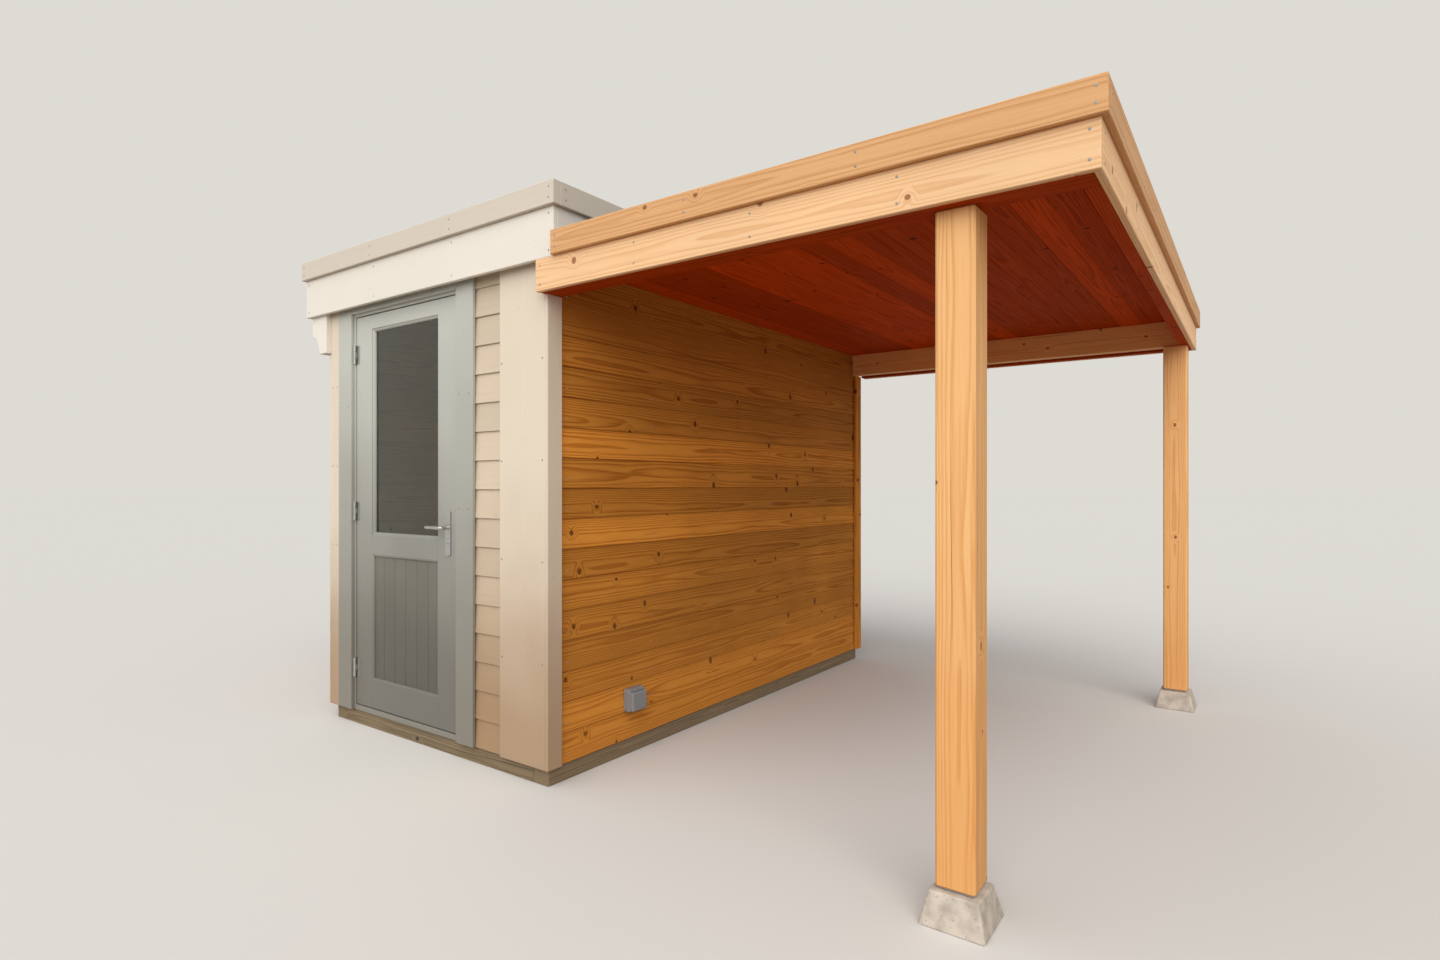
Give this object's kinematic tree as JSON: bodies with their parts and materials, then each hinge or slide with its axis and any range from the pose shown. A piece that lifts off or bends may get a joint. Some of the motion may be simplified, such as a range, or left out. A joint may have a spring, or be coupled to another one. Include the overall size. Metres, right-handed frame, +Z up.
{
  "type": "garden house with an open canopy",
  "caption": "Flat-roofed timber garden house: a closed room with a half-glazed door and a lower open canopy beside it on posts.",
  "frame": {"origin": "on the ground under the middle of the whole roof", "axes": "+Z up, front with the door towards -Y, canopy towards +X"},
  "size_m": [4.135, 3.29, 2.56],
  "materials": {
    "treated_timber": "rough sawn, pressure treated",
    "pale_timber": "planed, bare",
    "cream_boards": "planed, pale cream stain",
    "honey_timber": "planed, honey brown oil",
    "orange_timber": "planed, light orange oil",
    "grey_paint": "satin light grey paint",
    "glass": "clear float glass, dark room behind",
    "steel": "satin stainless and galvanised steel",
    "roofing": "matt black roofing sheet",
    "concrete": "cast concrete",
    "grey_plastic": "moulded, matt"
  },
  "bodies": {
    "house": {"base_frame": "treated_timber", "floor_boards": "pale_timber", "front_wall_left": "cream_boards", "front_wall_right": "cream_boards", "front_wall_over_door": "cream_boards", "left_wall": "honey_timber", "canopy_side_wall": "honey_timber", "back_wall": "honey_timber", "wall_studs": "pale_timber", "wall_plates": "pale_timber", "front_corner_board": "cream_boards", "corner_boards": "cream_boards", "door_frame": "grey_paint", "door_casing": "grey_paint", "frame_hinges": "steel", "eave_brackets": "cream_boards", "room_rafters": "pale_timber", "room_roof_deck": "pale_timber", "room_roof_sheet": "roofing", "room_fascia": "cream_boards", "room_trim": "cream_boards", "room_soffit": "cream_boards", "canopy_front_beam": "orange_timber", "canopy_rear_beam": "orange_timber", "canopy_rim": "orange_timber", "canopy_joists": "orange_timber", "canopy_ceiling": "honey_timber", "canopy_roof_deck": "pale_timber", "canopy_roof_sheet": "roofing", "canopy_fascia": "orange_timber", "canopy_trim": "orange_timber", "front_post": "orange_timber", "rear_post": "orange_timber", "post_feet": "concrete", "post_shoes": "steel", "socket_box": "grey_plastic"},
    "door": {"door_leaf": "grey_paint", "door_panel": "grey_paint", "door_glass": "glass", "glazing_beads": "grey_paint", "door_handle": "steel", "door_hinges": "steel"}
  },
  "joints": [
    {"name": "door_hinge", "type": "hinge", "parent": "house", "child": "door", "pos_m": [-1.6475, -1.563, 1.162], "axis": [0, 0, -1], "range_deg": [0, 100]}
  ]
}
